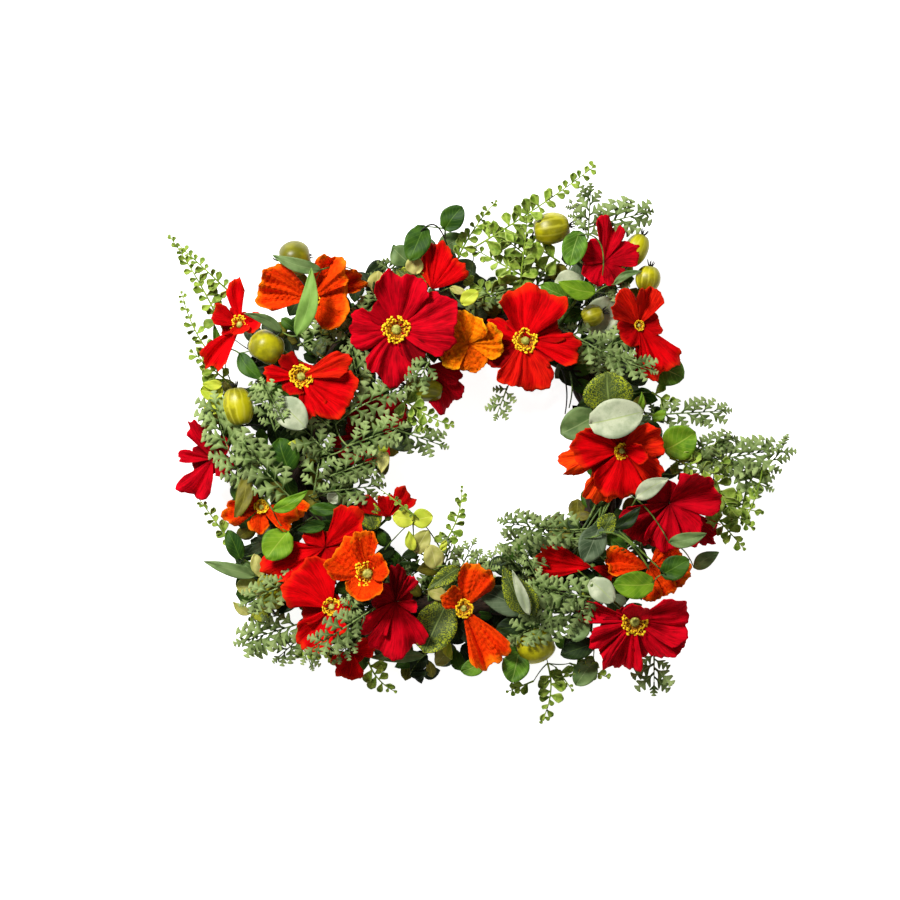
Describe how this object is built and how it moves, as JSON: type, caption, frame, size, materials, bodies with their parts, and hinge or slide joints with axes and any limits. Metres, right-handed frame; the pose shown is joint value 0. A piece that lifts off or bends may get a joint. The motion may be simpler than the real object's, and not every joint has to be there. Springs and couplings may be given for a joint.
{
  "type": "poppy wreath",
  "caption": "Round artificial wreath of red and orange silk poppies, green fruit, ferns and silvery foliage on a dark vine ring, lying face up.",
  "frame": {"origin": "bottom centre of the whole wreath's box, on the surface it lies on", "axes": "+Z out of the wreath's face, +Y to the top of the face, +X to its right as seen from the front"},
  "size_m": [0.6204, 0.554, 0.1123],
  "materials": {
    "vine": "dark, rough, twisted vine",
    "crimson_silk": "matte crimson silk with crimped folds",
    "scarlet_silk": "matte scarlet silk with orange rims",
    "orange_silk": "matte orange silk with red-orange veins",
    "fruit": "satin yellow-green foam fruit with paler stripes",
    "green_leaf": "satin mid and dark green leaves with pale veins",
    "sage_leaf": "matte flocked sage green",
    "fern_leaf": "satin lime green"
  },
  "bodies": {
    "root": {"vine_ring": "vine", "green_apple_1": "fruit", "green_apple_2": "fruit", "green_apple_3": "fruit", "gooseberry_1": "fruit", "gooseberry_2": "fruit", "gooseberry_3": "fruit", "gooseberry_4": "fruit", "gooseberry_5": "fruit", "gooseberry_pair": "fruit", "crimson_poppy_1": "crimson_silk", "crimson_poppy_2": "crimson_silk", "crimson_poppy_3": "crimson_silk", "crimson_poppy_4": "crimson_silk", "crimson_poppy_5": "crimson_silk", "crimson_poppy_6": "crimson_silk", "crimson_poppy_7": "crimson_silk", "scarlet_poppy_1": "scarlet_silk", "scarlet_poppy_2": "scarlet_silk", "scarlet_poppy_3": "scarlet_silk", "scarlet_poppy_4": "scarlet_silk", "scarlet_poppy_5": "scarlet_silk", "scarlet_poppy_6": "scarlet_silk", "scarlet_poppy_7": "scarlet_silk", "scarlet_poppy_8": "scarlet_silk", "scarlet_poppy_9": "scarlet_silk", "scarlet_poppy_10": "scarlet_silk", "scarlet_poppy_11": "scarlet_silk", "orange_poppy_1": "orange_silk", "orange_poppy_2": "orange_silk", "orange_poppy_3": "orange_silk", "orange_poppy_4": "orange_silk", "orange_poppy_5": "orange_silk", "orange_poppy_6": "orange_silk", "round_leaves_top": "green_leaf", "round_leaves_top_right": "green_leaf", "broad_leaves_right": "green_leaf", "green_leaves_right": "green_leaf", "round_leaves_bottom_right": "green_leaf", "folded_leaves_bottom": "green_leaf", "mixed_leaves_bottom_left": "green_leaf", "round_leaves_left": "green_leaf", "pale_leaves_left": "green_leaf", "long_leaves_top_left": "green_leaf", "dusty_fronds_left": "sage_leaf", "dusty_fronds_inner_left": "sage_leaf", "dusty_fronds_top": "sage_leaf", "dusty_fronds_top_right": "sage_leaf", "dusty_fronds_upper_right": "sage_leaf", "dusty_fronds_right": "sage_leaf", "dusty_fronds_bottom": "sage_leaf", "dusty_fronds_bottom_left": "sage_leaf", "dusty_fronds_bottom_right": "sage_leaf", "fern_sprigs_top_left": "fern_leaf", "fern_sprigs_top": "fern_leaf", "fern_sprigs_inner_left": "fern_leaf", "fern_sprigs_right": "fern_leaf", "fern_sprigs_bottom": "fern_leaf", "fern_sprigs_bottom_left": "fern_leaf", "fern_sprigs_inner_bottom": "fern_leaf"}
  },
  "joints": []
}
